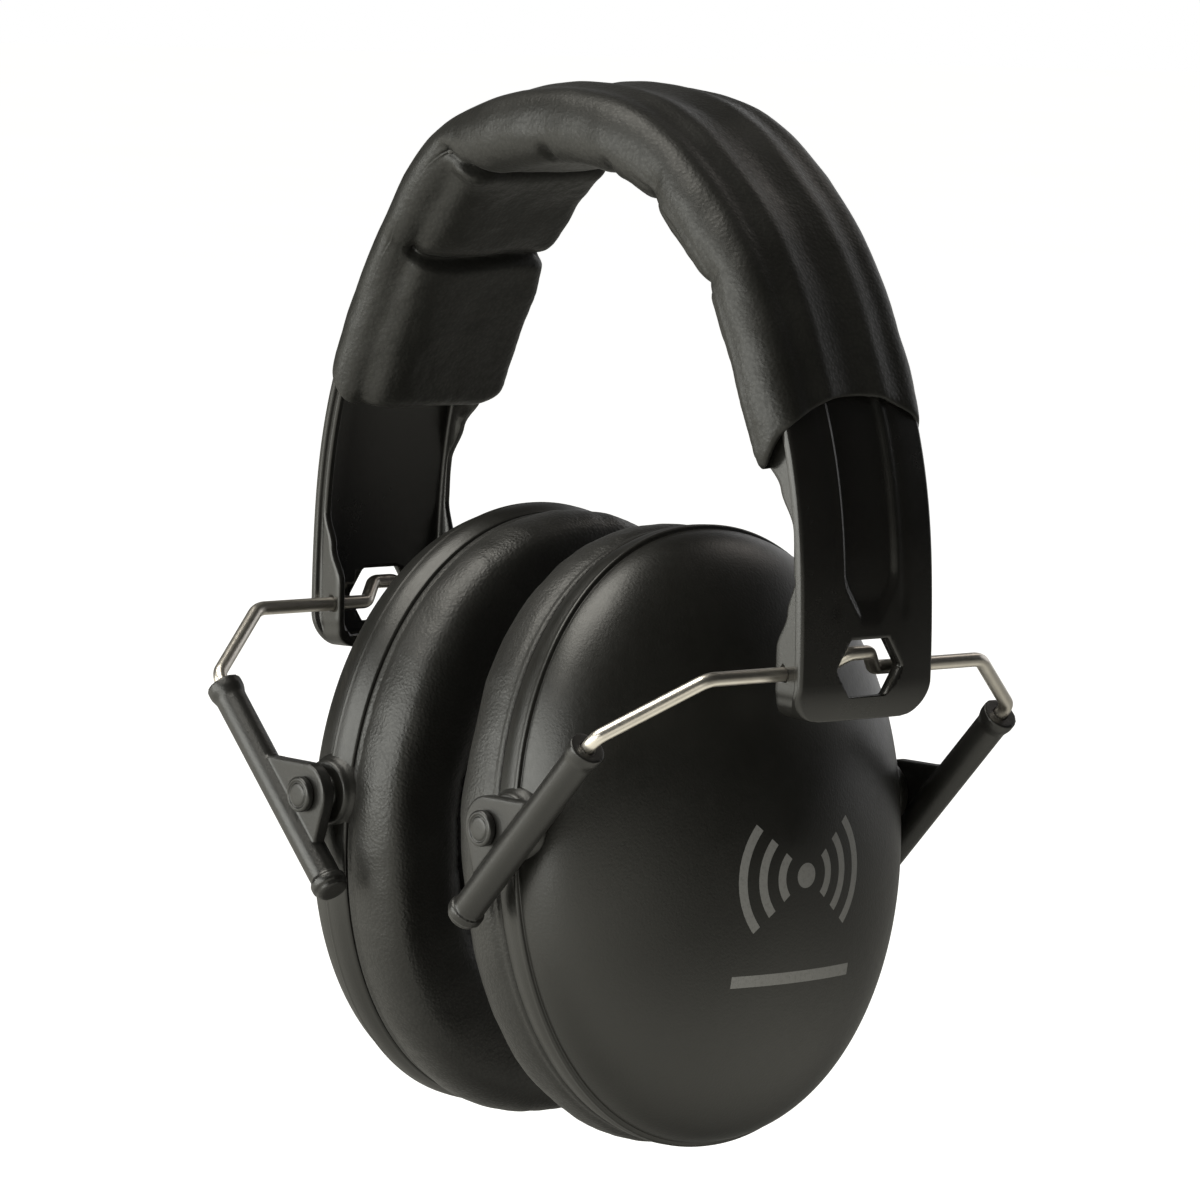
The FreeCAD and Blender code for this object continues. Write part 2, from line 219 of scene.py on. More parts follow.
def lathe(name, prof, origin, axis, seg=96):
    """prof: list of (radius, height) in mm along axis from origin"""
    a = Vector(axis).normalized()
    u = a.orthogonal().normalized()
    w = a.cross(u)
    o = Vector(origin)
    verts, faces = [], []
    for r, h in prof:
        for k in range(seg):
            t = 2 * math.pi * k / seg
            p = o + a * h + (u * math.cos(t) + w * math.sin(t)) * r
            verts.append(tuple(p))
    n = len(prof)
    faces = grid_faces(n, seg, False, True)
    for idx in (0, n - 1):
        c = o + a * prof[idx][1]
        verts.append(tuple(c))
        k = len(verts) - 1
        for j in range(seg):
            faces.append((idx * seg + j, idx * seg + (j + 1) % seg, k))
    return mesh_obj(name, verts, faces)


def mirrored(o, name):
    """copy of o mirrored in the YZ plane"""
    me = o.data.copy()
    me.transform(Matrix.Scale(-1, 4, (1, 0, 0)))
    me.flip_normals()
    c = bpy.data.objects.new(name, me)
    scene.collection.objects.link(c)
    return c


# ---------------------------------------------------------------- materials
def new_mat(name):
    m = bpy.data.materials.new(name)
    m.use_nodes = True
    nt = m.node_tree
    b = nt.nodes["Principled BSDF"]
    return m, nt, b


def tex_coord(nt):
    return nt.nodes.new("ShaderNodeTexCoord").outputs["Object"]


def add_noise(nt, co, scale, detail=3.0, rough=0.55, distort=0.0):
    n = nt.nodes.new("ShaderNodeTexNoise")
    n.inputs["Scale"].default_value = scale
    n.inputs["Detail"].default_value = detail
    n.inputs["Roughness"].default_value = rough
    n.inputs["Distortion"].default_value = distort
    nt.links.new(co, n.inputs["Vector"])
    return n.outputs["Fac"]


def ramp(nt, fac, lo, hi, p0=0.3, p1=0.7):
    r = nt.nodes.new("ShaderNodeMapRange")
    r.inputs["From Min"].default_value = p0
    r.inputs["From Max"].default_value = p1
    r.inputs["To Min"].default_value = lo
    r.inputs["To Max"].default_value = hi
    nt.links.new(fac, r.inputs["Value"])
    return r.outputs["Result"]


def mix_col(nt, fac, a, b):
    m = nt.nodes.new("ShaderNodeMix")
    m.data_type = "RGBA"
    for key, v in (("A", a), ("B", b)):
        sock = [s for s in m.inputs if s.name == key and s.type == "RGBA"][0]
        if isinstance(v, tuple):
            sock.default_value = (*v, 1)
        else:
            nt.links.new(v, sock)
    fs = [s for s in m.inputs if s.name == "Factor" and s.type == "VALUE"][0]
    nt.links.new(fac, fs)
    return [s for s in m.outputs if s.type == "RGBA"][0]


def math_node(nt, op, a, b=None, clamp=False):
    m = nt.nodes.new("ShaderNodeMath")
    m.operation = op
    m.use_clamp = clamp
    for i, v in enumerate((a, b)):
        if v is None:
            continue
        if isinstance(v, (int, float)):
            m.inputs[i].default_value = v
        else:
            nt.links.new(v, m.inputs[i])
    return m.outputs[0]


def bump(nt, b, height, dist, strength=1.0, prev=None):
    n = nt.nodes.new("ShaderNodeBump")
    n.inputs["Distance"].default_value = dist
    n.inputs["Strength"].default_value = strength
    nt.links.new(height, n.inputs["Height"])
    if prev is not None:
        nt.links.new(prev, n.inputs["Normal"])
    nt.links.new(n.outputs["Normal"], b.inputs["Normal"])
    return n.outputs["Normal"]


def plastic(name, col, rough, grain=2600, grain_d=0.00003, var=0.25, spec=0.5):
    """moulded plastic: fine spark grain, faint cloudy sheen changes and light rub marks"""
    m, nt, b = new_mat(name)
    co = tex_coord(nt)
    cloud = add_noise(nt, co, 45, 4, 0.6)
    c2 = tuple(min(1, c * (1 + var) + 0.002) for c in col)
    nt.links.new(mix_col(nt, ramp(nt, cloud, 0, 1), col, c2), b.inputs["Base Color"])
    fine = add_noise(nt, co, 700, 5, 0.65)
    r = math_node(nt, "ADD", ramp(nt, cloud, rough - 0.035, rough + 0.035), ramp(nt, fine, -0.03, 0.03))
    nt.links.new(r, b.inputs["Roughness"])
    b.inputs["Specular IOR Level"].default_value = spec
    g = add_noise(nt, co, grain, 2, 0.5)
    w = add_noise(nt, co, 60, 2, 0.5)
    n1 = bump(nt, b, g, grain_d)
    bump(nt, b, w, 0.00006, 0.5, n1)
    return m


def leatherette(name, col, rough, cell=1100, depth=0.00009, crease=0.0):
    """soft vinyl or leatherette: pebbled grain with pores, slight sheen variation"""
    m, nt, b = new_mat(name)
    co = tex_coord(nt)
    warp = nt.nodes.new("ShaderNodeTexNoise")
    warp.inputs["Scale"].default_value = cell * 0.6
    warp.inputs["Detail"].default_value = 2
    nt.links.new(co, warp.inputs["Vector"])
    add = nt.nodes.new("ShaderNodeVectorMath")
    add.operation = "MULTIPLY_ADD"
    nt.links.new(warp.outputs["Color"], add.inputs[0])
    add.inputs[1].default_value = (0.0005, 0.0005, 0.0005)
    nt.links.new(co, add.inputs[2])
    v = nt.nodes.new("ShaderNodeTexVoronoi")
    v.feature = "SMOOTH_F1"
    v.inputs["Scale"].default_value = cell
    v.inputs["Smoothness"].default_value = 0.6
    nt.links.new(add.outputs[0], v.inputs["Vector"])
    pebble = v.outputs["Distance"]
    cloud = add_noise(nt, co, 60, 4, 0.6)
    fine = add_noise(nt, co, 3800, 3, 0.6)
    c2 = tuple(min(1, c * 1.35 + 0.003) for c in col)
    tone = mix_col(nt, ramp(nt, cloud, 0, 1), col, c2)
    dark = tuple(c * 0.7 for c in col)
    nt.links.new(mix_col(nt, ramp(nt, pebble, 0.0, 0.6, 0.25, 0.75), tone, dark), b.inputs["Base Color"])
    r = math_node(nt, "ADD", ramp(nt, cloud, rough - 0.05, rough + 0.05), ramp(nt, pebble, -0.03, 0.08, 0.1, 0.8))
    nt.links.new(r, b.inputs["Roughness"])
    b.inputs["Specular IOR Level"].default_value = 0.45
    b.inputs["Sheen Weight"].default_value = 0.02
    b.inputs["Sheen Roughness"].default_value = 0.4
    inv = math_node(nt, "MULTIPLY", pebble, -1.0)
    n1 = bump(nt, b, inv, depth)
    n2 = bump(nt, b, fine, 0.00002, 1.0, n1)
    w = add_noise(nt, co, 150, 2, 0.5, 0.3)
    bump(nt, b, w, 0.00012, 0.5, n2)
    return m


def foam_mat(name, col):
    m, nt, b = new_mat(name)
    co = tex_coord(nt)
    v = nt.nodes.new("ShaderNodeTexVoronoi")
    v.inputs["Scale"].default_value = 900
    nt.links.new(co, v.inputs["Vector"])
    cloud = add_noise(nt, co, 300, 4, 0.6)
    dark = tuple(c * 0.35 for c in col)
    nt.links.new(mix_col(nt, ramp(nt, v.outputs["Distance"], 0, 1, 0.1, 0.6), dark, col), b.inputs["Base Color"])
    nt.links.new(ramp(nt, cloud, 0.85, 0.98), b.inputs["Roughness"])
    b.inputs["Specular IOR Level"].default_value = 0.2
    n1 = bump(nt, b, v.outputs["Distance"], 0.0004)
    bump(nt, b, cloud, 0.0004, 0.8, n1)
    return m


def steel_mat(name):
    m, nt, b = new_mat(name)
    co = tex_coord(nt)
    b.inputs["Metallic"].default_value = 1.0
    cloud = add_noise(nt, co, 260, 4, 0.6)
    nt.links.new(mix_col(nt, ramp(nt, cloud, 0, 1), (0.74, 0.70, 0.64), (0.66, 0.62, 0.56)), b.inputs["Base Color"])
    scr = add_noise(nt, co, 1500, 3, 0.5)
    nt.links.new(ramp(nt, scr, 0.30, 0.36), b.inputs["Roughness"])
    bump(nt, b, scr, 0.0000006)
    return m


def cup_mat(name, base, rough, print_at=None):
    """satin moulded cup, with an optional generic ring print"""
    m = plastic(name, base, rough, grain=2200, grain_d=0.00003, var=0.2)
    if print_at is None:
        return m
    nt = m.node_tree
    b = nt.nodes["Principled BSDF"]
    co = tex_coord(nt)
    sep = nt.nodes.new("ShaderNodeSeparateXYZ")
    nt.links.new(co, sep.inputs[0])
    X, Y, Z = sep.outputs
    cy, cz = print_at
    dy = math_node(nt, "SUBTRACT", Y, cy)
    dz = math_node(nt, "SUBTRACT", Z, cz)
    d2 = math_node(nt, "ADD", math_node(nt, "MULTIPLY", dy, dy), math_node(nt, "MULTIPLY", dz, dz))
    rr = math_node(nt, "SQRT", d2)
    mask = None
    for r0, r1 in ((0.0, 0.0021), (0.0046, 0.0062), (0.0084, 0.0100), (0.0122, 0.0138)):
        k = math_node(nt, "MULTIPLY", math_node(nt, "GREATER_THAN", rr, r0), math_node(nt, "LESS_THAN", rr, r1))
        if r0 > 0:
            # two fans of arcs, left and right of the dot
            k = math_node(nt, "MULTIPLY", k, math_node(nt, "GREATER_THAN", math_node(nt, "ABSOLUTE", dy), math_node(nt, "MULTIPLY", math_node(nt, "ABSOLUTE", dz), 1.15)))
        mask = k if mask is None else math_node(nt, "MAXIMUM", mask, k)
    # a plain bar under the arcs
    bar = math_node(nt, "MULTIPLY", math_node(nt, "LESS_THAN", math_node(nt, "ABSOLUTE", dy), 0.0135),
                    math_node(nt, "LESS_THAN", math_node(nt, "ABSOLUTE", math_node(nt, "ADD", dz, 0.0172)), 0.0010))
    mask = math_node(nt, "MAXIMUM", mask, bar)
    mask = math_node(nt, "MULTIPLY", mask, math_node(nt, "GREATER_THAN", X, 0.028))
    wear = ramp(nt, add_noise(nt, co, 1500, 4, 0.7), 0.78, 1.0, 0.3, 0.5)
    mask = math_node(nt, "MULTIPLY", mask, wear)
    old = b.inputs["Base Color"].links[0].from_socket
    nt.links.new(mix_col(nt, mask, old, (0.20, 0.20, 0.20)), b.inputs["Base Color"])
    return m


M_BAND = plastic("band_plastic_black", (0.0090, 0.0086, 0.0078), 0.24, grain=3000, grain_d=0.00001, var=0.2)
M_COVER = leatherette("cover_vinyl_black", (0.0098, 0.0096, 0.0084), 0.41, cell=1500, depth=0.00005)
M_COVER.node_tree.nodes["Principled BSDF"].inputs["Specular IOR Level"].default_value = 0.35
M_CUSHION = leatherette("cushion_leatherette_black", (0.0105, 0.0102, 0.0092), 0.40, cell=1900, depth=0.00006)
M_CUP = cup_mat("cup_plastic_black", (0.0070, 0.0068, 0.0058), 0.36)
M_CUP_PRINT = cup_mat("cup_plastic_black_print", (0.0070, 0.0068, 0.0058), 0.36, (0.0030, -0.1140))
M_SLEEVE = plastic("sleeve_plastic_black", (0.0095, 0.0092, 0.0085), 0.34, grain=2400, grain_d=0.00003)
M_PIN = plastic("pin_plastic_black", (0.0100, 0.0098, 0.0090), 0.32, grain=2400, grain_d=0.00002)
M_PLATE = plastic("plate_plastic_black", (0.022, 0.022, 0.022), 0.55)
M_FOAM = foam_mat("foam_black", (0.060, 0.060, 0.064))
M_WIRE = steel_mat("spring_wire_steel")


def put(o, body, mat, nodes=()):
    o.data.materials.clear()
    o.data.materials.append(mat)
    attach(o, body)
    if nodes:
        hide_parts(*nodes)
    return o


# ------------------------------------------------------------ band geometry
BAND_CZ = -58.23
BAND_R = [(0, 63.8), (15, 62.9), (30, 63.3), (45, 65.8), (60, 68.3), (75, 69.5), (90, 69.6)]
half = [(64.35, -86.3), (64.57, -78.44), (64.4, -68.0)]
half += [(r * math.cos(math.radians(a)), BAND_CZ + r * math.sin(math.radians(a))) for a, r in BAND_R]
pts = np.array(half + [(-x, z) for x, z in reversed(half[:-1])])
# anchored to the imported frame: same width and same top
b_lo, b_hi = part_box("headband_frame")
kx = (b_hi.x - b_lo.x) / MM / 2 / 64.58
dz_top = b_hi.z / MM - 11.37
pts = pts * [kx, 1] + [0, dz_top]
chord = np.r_[0, np.cumsum(np.linalg.norm(np.diff(pts, axis=0), axis=1))]
sp = natural_spline(chord, pts)
tt = np.linspace(0, chord[-1], 4001)
pp = sp(tt)
arc = np.r_[0, np.cumsum(np.linalg.norm(np.diff(pp, axis=0), axis=1))]
L = float(arc[-1])
tan = np.gradient(pp, arc, axis=0)
tan /= np.linalg.norm(tan, axis=1)[:, None]
nor = np.c_[tan[:, 1], -tan[:, 0]]


def band(s):
    """(x, z) of the band's outer face and outward normal at arc length s"""
    s = np.asarray(s, float)
    x = np.interp(s, arc, pp[:, 0])
    z = np.interp(s, arc, pp[:, 1])
    nx = np.interp(s, arc, nor[:, 0])
    nz = np.interp(s, arc, nor[:, 1])
    k = np.hypot(nx, nz)
    return x, z, nx / k, nz / k


def band_pt(s, y, d):
    """row-frame point at arc length s, across y, depth d below the outer face (mm)"""
    x, z, nx, nz = band(np.clip(s, 0, L))
    ex = np.minimum(s, 0) - np.maximum(s - L, 0) * -1
    return np.stack([x - nx * d, np.broadcast_to(y, np.shape(x)), z - nz * d], -1)


ARM_HALF, WALL, FL_T, CORNER = 14.6, 2.2, 2.0, 5.0
DEPTH = [(0, 7.6), (6, 8.0), (12, 8.0), (18, 5.6), (25, 3.7), (32, 3.4), (39, 5.6), (46, 8.6), (56, 8.8), (66, 6.0), (76, 4.2), (90, 4.0)]


FRONT_DEPTH = [(0, 7.6), (6, 8.0), (12, 8.0), (18, 5.4), (24, 3.3), (90, 3.3)]


def half_width(q):
    """half width near the rounded lower corners, q = distance from the arm's end"""
    q = np.clip(q, 0, CORNER)
    return ARM_HALF - CORNER + np.sqrt(np.maximum(CORNER ** 2 - (CORNER - q) ** 2, 0))


def outer_shape(y, q):
    """depth of the arm's outer face below the envelope: crown, a sunk centre channel with a crisp
    shoulder on each side, and a facet that turns in at the arm's end"""
    ay = np.abs(y)
    crown = 0.80 * np.clip((ay - 5.9) / 8.7, 0, 1) ** 1.5
    g = smooth01(q, 15.8, 19.6)
    end_y = 5.0 - 3.4 * (1 - smooth01(q, 16.0, 24.0))
    channel = 0.80 * g * (1 - smooth01(ay, end_y, end_y + 0.85))
    roll = 0.16 * g * np.exp(-((ay - 7.4) / 0.9) ** 2)
    facet = 1.9 * np.clip((5.6 - q) / 5.6, 0, 1) ** 1.25
    return crown + channel + roll + facet


def wall_pts(hw, d_top, d_bot, q):
    """outer side of a flange: a rounded lip under the outer face, then a wall set in by 0.8 mm"""
    inset = 0.8 * smooth01(q, 1.0, 4.0) * (1 - smooth01(q, 58.0, 64.0))
    lip = min(d_top + 0.55, d_bot - 0.6)
    out = [(hw, d_top + (lip - d_top) * k) for k in (0.35, 0.75, 1.0)]
    for t in (0.25, 0.5, 0.75, 1.0):
        out.append((hw - inset * (t * t * (3 - 2 * t)), lip + 0.45 * t))
    for k in (0.1, 0.3, 0.5, 0.7, 0.85, 1.0):
        out.append((hw - inset, lip + 0.45 + (d_bot - lip - 0.45) * k))
    return out


def frame_mesh():
    st = np.r_[np.linspace(0, 5, 22), np.linspace(5.5, L - 5.5, 300), np.linspace(L - 5, L, 22)]
    q = np.minimum(st, L - st)
    dep = table(DEPTH, q)
    # on the near arm the front flange deepens again just below the cover
    dep_f = np.where((st < L / 2) & (q > 24), table(DEPTH, q), table(FRONT_DEPTH, q))
    rings = []
    er = 0.95         # outer edge rounding
    fr = 0.55         # flange lip rounding
    ny = 77
    for s, qq, dd, df in zip(st, q, dep, dep_f):
        hw = float(half_width(qq)) if qq < CORNER else ARM_HALF
        hw = max(hw, ARM_HALF - CORNER + 0.05)
        ring = []
        ys = np.linspace(-(hw - er), hw - er, ny)
        for y in ys:
            ring.append((y, float(outer_shape(y, qq))))
        d0 = ring[-1][1]
        for a in np.linspace(8, 90, 9):
            t = math.radians(a)
            ring.append((hw - er + er * math.sin(t), d0 + er - er * math.cos(t)))
        wall = wall_pts(hw, d0 + er, dd - fr, qq)
        ring += wall
        hf = wall[-1][0]
        for a in np.linspace(20, 90, 5):
            t = math.radians(a)
            ring.append((hf - fr + fr * math.cos(t), dd - fr + fr * math.sin(t)))
        wall = wall_pts(hw, d0 + er, df - fr, qq)
        hf = wall[-1][0]
        for y in np.linspace(hf - fr - 0.5, -(hf - fr - 0.5), 30):
            ring.append((y, dd + (df - dd) * float(smooth01(-y, 6.0, 11.5))))
        for a in np.linspace(90, 20, 5):
            t = math.radians(a)
            ring.append((-(hf - fr + fr * math.cos(t)), df - fr + fr * math.sin(t)))
        ring += [(-p, d) for p, d in reversed(wall)]
        for a in np.linspace(90, 8, 9):
            t = math.radians(a)
            ring.append((-(hw - er + er * math.sin(t)), d0 + er - er * math.cos(t)))
        ring = np.array(ring)
        x, z, nx, nz = band(s)
        rings.append(np.c_[x - nx * ring[:, 1], ring[:, 0], z - nz * ring[:, 1]])
    o = loft("headband_frame_body", rings)
    # pocket between the flanges
    st = np.r_[np.linspace(2.0, L - 2.0, 260)]
    q = np.minimum(st, L - st)
    pr = []
    ph = ARM_HALF - FL_T
    for s, qq in zip(st, q):
        hw = min(ph, float(half_width(max(qq - 1.2, 0.0))) - FL_T + 0.3) if qq < 7 else ph
        ring = []
        for y in np.linspace(-(hw - 0.8), hw - 0.8, 9):
            ring.append((y, WALL))
        for a in np.linspace(15, 90, 5):
            t = math.radians(a)
            ring.append((hw - 0.8 + 0.8 * math.sin(t), WALL + 0.8 - 0.8 * math.cos(t)))
        ring.append((hw, 12.0))
        ring.append((-hw, 12.0))
        for a in np.linspace(90, 15, 5):
            t = math.radians(a)
            ring.append((-(hw - 0.8 + 0.8 * math.sin(t)), WALL + 0.8 - 0.8 * math.cos(t)))
        ring = np.array(ring)
        x, z, nx, nz = band(s)
        pr.append(np.c_[x - nx * ring[:, 1], ring[:, 0], z - nz * ring[:, 1]])
    tool = loft("pocket_tool", pr, smooth=False)
    boolean(o, tool)
    # windows and wire holes
    yx, yz = [v / MM for v in (joints["yoke_swing_right"]["pos_m"][0], joints["yoke_swing_right"]["pos_m"][2])]
    for sgn in (1, -1):
        w = [(-7.0, 0.8), (-4.0, 5.4), (4.0, 5.4), (7.0, 0.8), (4.0, -3.9), (-4.0, -3.9)]
        rr = 0.9
        out = []
        n = len(w)
        for i in range(n):
            a, b, c = Vector(w[i - 1]), Vector(w[i]), Vector(w[(i + 1) % n])
            d1, d2 = (b - a).normalized(), (c - b).normalized()
            ang = d1.angle(d2)
            t = rr * math.tan(ang / 2)
            q1, q2 = b - d1 * t, b + d2 * t
            for k in range(6):
                f = k / 5
                out.append(q1.lerp(b, f).lerp(b.lerp(q2, f), f))
        # the window flares slightly towards its outer face
        r2 = []
        for xx, k in ((60.0, 1.0), (63.6, 1.0), (64.1, 1.02), (64.6, 1.07), (66.5, 1.2)):
            r2.append([(sgn * xx, p.x * k, yz + (p.y - 0.75) * k + 0.75) for p in out])
        boolean(o, loft("win_tool", r2, smooth=False))
        bm = bmesh.new()
        cyl_mesh(bm, (sgn * yx, -20, yz), (sgn * yx, 20, yz), 1.28)
        boolean(o, bm_obj("hole_tool", bm))
    return o


# ------------------------------------------------------- cover (padded vinyl)
CREASES = [78.0, 103.0, L - 106.0, L - 78.0]
PINCH = [(116.0, 3.0), (135.0, 3.6)]


def cover_mesh():
    hw, d_out, d_in = 16.55, -1.15, 11.30
    ro, ri, rf = 5.8, 3.4, 6.2
    # closed section: (y, d) with outward normal, from mid outer face round
    sec = []
    def arcpts(cy, cd, r, a0, a1, n):
        for a in np.linspace(a0, a1, n, endpoint=False):
            t = math.radians(a)
            sec.append((cy + r * math.cos(t), cd - r * math.sin(t)))
    for y in np.linspace(0, hw - ro, 22, endpoint=False):
        sec.append((y, d_out))
    arcpts(hw - ro, d_out + ro, ro, 90, 0, 16)
    for d in np.linspace(d_out + ro, d_in - ri, 10, endpoint=False):
        sec.append((hw, d))
    arcpts(hw - ri, d_in - ri, ri, 0, -90, 15)
    for y in np.linspace(hw - ri, -(hw - rf), 44, endpoint=False):
        sec.append((y, d_in))
    arcpts(-(hw - rf), d_in - rf, rf, -90, -180, 18)
    for d in np.linspace(d_in - rf, d_out + ro, 8, endpoint=False):
        sec.append((-hw, d))
    arcpts(-(hw - ro), d_out + ro, ro, 180, 90, 16)
    for y in np.linspace(-(hw - ro), 0, 22, endpoint=False):
        sec.append((y, d_out))
    sec = np.array(sec)
    m = len(sec)
    nx = np.roll(sec, -1, 0) - np.roll(sec, 1, 0)
    nrm = np.c_[-nx[:, 1], nx[:, 0]]
    nrm /= np.linalg.norm(nrm, axis=1)[:, None]
    c = sec.mean(0)
    if ((sec - c) * nrm).sum() < 0:
        nrm = -nrm
    y, d = sec[:, 0], sec[:, 1]
    # end station for each section point
    e_out = 49.0 + 4.6 * (1 - np.clip(np.abs(y) / 15.0, 0, 1) ** 2)
    w_side = smooth01(d, -0.6, 8.0)
    # the near (right) end and the far (left) end of the pad sit at slightly different stations
    s_end = e_out * (1 - w_side) + 43.2 * w_side
    s_end2 = e_out * (1 - w_side) + 45.4 * w_side + 1.6 * smooth01(np.abs(y), 10.0, 16.0) * w_side * (y > 0)
    N = 430
    u = np.linspace(0, 1, N)
    inner = smooth01(d, 7.6, 10.2)              # 1 on the inner pad face
    inner_f = np.where(y < 0, smooth01(d, 1.5, 11.0), inner)
    side = smooth01(np.abs(y), 13.5, 16.2) * (1 - inner)
    outer = (1 - smooth01(d, -0.9, 2.6)) * (1 - smooth01(np.abs(y), 13.0, 16.0))
    rings = []
    d_sec = d.copy()
    for ui in u:
        s = s_end + (L - s_end - s_end2) * ui
        q = np.minimum(s, L - s)
        disp = np.zeros(m)
        d = d_sec
        # band ridges telegraph through the outer face
        ay = np.abs(y)
        disp += outer * (0.50 * np.exp(-((ay - 5.8) / 2.1) ** 2) - 0.30 * np.exp(-(ay / 2.4) ** 2) - 0.42 * np.exp(-((ay - 10.6) / 2.4) ** 2))
        # seam between the cover's side and the pad
        seam_d = 7.3 + 0.25 * np.sin(s / 11.0 + np.sign(y))
        at_seam = smooth01(ay, 12.0, 14.5) * np.where(y < 0, 1 - smooth01(s, 98.0, 112.0), 1 - smooth01(s, L - 116.0, L - 104.0))
        disp += (0.42 * np.exp(-((d - seam_d) / 0.45) ** 2) - 0.50 * np.exp(-((d - seam_d - 1.0) / 0.45) ** 2)) * at_seam
        # pad creases across the inner face
        for i, cs in enumerate(CREASES):
            skew = 0.9 * np.sin(y / 6.0 + i) + 0.035 * y * (1 if i % 2 else -1)
            if i == 2:      # this one runs up the front side to the outer edge
                skew = skew + 2.2 * smooth01(-y, 8.0, 16.5) + 3.0 * smooth01(-d, -11.3, -2.0) * smooth01(-y, 10.0, 16.0)
            ds = (s - cs - skew) * (1 if i < 2 else -1)
            dr = np.sqrt(ds * ds + 0.09) - 0.3
            v = np.where(ds < 0, np.exp(-dr / 0.6), np.exp(-dr / 1.9))
            disp += -(3.4 if i == 2 else 2.6) * v * inner
            k_side = smooth01(d, 2.0, 8.0) * 0.9 if i != 2 else np.where(y < 0, smooth01(d, 1.6, 6.0) * 2.2, smooth01(d, 2.0, 8.0) * 0.9)
            disp += -k_side * np.exp(-dr / (2.6 if i != 2 else 2.0)) * side
        # facets between creases are slightly full
        edges = [45.0] + CREASES + [L - 45.0]
        for a, b in zip(edges, edges[1:]):
            t = (s - a) / (b - a)
            disp += inner_f * 0.85 * np.where((t > 0) & (t < 1), np.clip(4 * t * (1 - t), 0, 1) ** 0.45, 0)
        # the far lower edges are rolled, the crown's edge stays full
        roll = np.exp(-((y + 15.6) ** 2 + (d - 10.8) ** 2) / 26.0)
        disp += -3.1 * roll * smooth01(s, L - 104.0, L - 98.0) - 0.5 * roll * smooth01(-s, -104.0, -100.0)
        # the crown stands a little proud and the cover bags out at the far shoulder
        lift = 1.5 * smooth01(s, 92.0, 118.0) * smooth01(L - s, 78.0, 98.0)
        lift = lift + 0.9 * np.exp(-((s - (L - 99.0)) / 10.0) ** 2)
        d = d - lift
        # pinches running in from the front edge near the crown
        for cs, ln in PINCH:
            k = 0.8 * np.exp(-((s - cs - 0.25 * (y + 16)) / 1.5) ** 2) * np.exp(-np.clip(y + 15.5, 0, 40) / (ln * 2.2))
            disp += -2.0 * k * smooth01(d, 6.0, 9.5)
            k2 = 0.7 * np.exp(-((s - (L - cs) - 0.2 * (16 - y)) / 1.5) ** 2) * np.exp(-np.clip(15.5 - y, 0, 40) / (ln * 2.2))
            disp += -1.0 * k2 * smooth01(d, 6.0, 9.5)
        # ends pull in and round over
        e = np.abs(np.minimum(s - s_end, (L - s_end2) - s))
        disp += -(inner * 2.2 + side * 0.5 + outer * 0.12) * (1 - np.sqrt(np.clip(1 - (1 - np.clip(e / 3.4, 0, 1)) ** 2, 0, 1)))
        P = band_pt(s, y, d)
        x_, z_, bx, bz = band(np.clip(s, 0, L))
        nr3 = np.stack([-bx * nrm[:, 1], nrm[:, 0], -bz * nrm[:, 1]], -1)
        # cloth-like unevenness
        for j in range(m):
            px, py, pz = P[j]
            a = n3(px, py, pz, 0.075) * 0.42 + n3(px + 31, py, pz, 0.19) * 0.20
            a += (abs(n3(px, py + 77, pz, 0.42)) - 0.2) * 0.09 * (0.35 + inner[j] + side[j] * 0.8)
            disp[j] += a * (0.45 + 0.75 * inner[j] + 0.5 * side[j])
        rings.append(P + nr3 * disp[:, None])
    rings = np.array(rings)

    def end_rings(r0, r1, base_s, sign):
        """turned-in hem: a rounded lip then a recess back to the pad's end"""
        out = []
        cen = r0.mean(0)
        along = (r0 - r1)
        along /= np.linalg.norm(along, axis=1)[:, None]
        inw = cen - r0
        inw -= along * (inw * along).sum(1)[:, None]
        inw /= np.linalg.norm(inw, axis=1)[:, None]
        for a in (25, 50, 75, 100, 130, 160):
            t = math.radians(a)
            out.append(r0 + along * (0.5 * math.sin(t)) + inw * (0.5 - 0.5 * math.cos(t)))
        last = out[-1]
        for k in (0.6, 1.4, 2.2):
            out.append(last - along * k + inw * (0.15 * k))
        last = out[-1]
        for k in (0.35, 0.7):
            out.append(last * (1 - k) + (cen - along.mean(0) * 2.2) * k)
        return out
    a = end_rings(rings[0], rings[1], 0, -1)
    b = end_rings(rings[-1], rings[-2], 0, 1)
    full = np.array(list(reversed(a)) + list(rings) + b)
    return loft("headband_cover_padded", full)


# ------------------------------------------------------------------- wires
def rounded(points, radii, step=0.25):
    out = [Vector(points[0])]
    P = [Vector(p) for p in points]
    for i in range(1, len(P) - 1):
        a, b, c = P[i - 1], P[i], P[i + 1]
        d1, d2 = (b - a).normalized(), (c - b).normalized()
        ang = d1.angle(d2)
        r = radii[i - 1]
        t = r * math.tan(ang / 2)
        q1, q2 = b - d1 * t, b + d2 * t
        bis = (d2 - d1).normalized()
        cen = b + bis * (r / math.cos(ang / 2))
        n = max(6, int(r * ang / step))
        v1, v2 = q1 - cen, q2 - cen
        ax = v1.cross(v2).normalized()
        for k in range(n + 1):
            rot = Matrix.Rotation(ang * k / n, 3, ax)
            out.append(cen + rot @ v1)
    out.append(P[-1])
    # even out long runs
    res = [out[0]]
    for p, q in zip(out, out[1:]):
        d = (q - p).length
        n = max(1, int(d / 1.2))
        for k in range(1, n + 1):
            res.append(p.lerp(q, k / n))
    return res


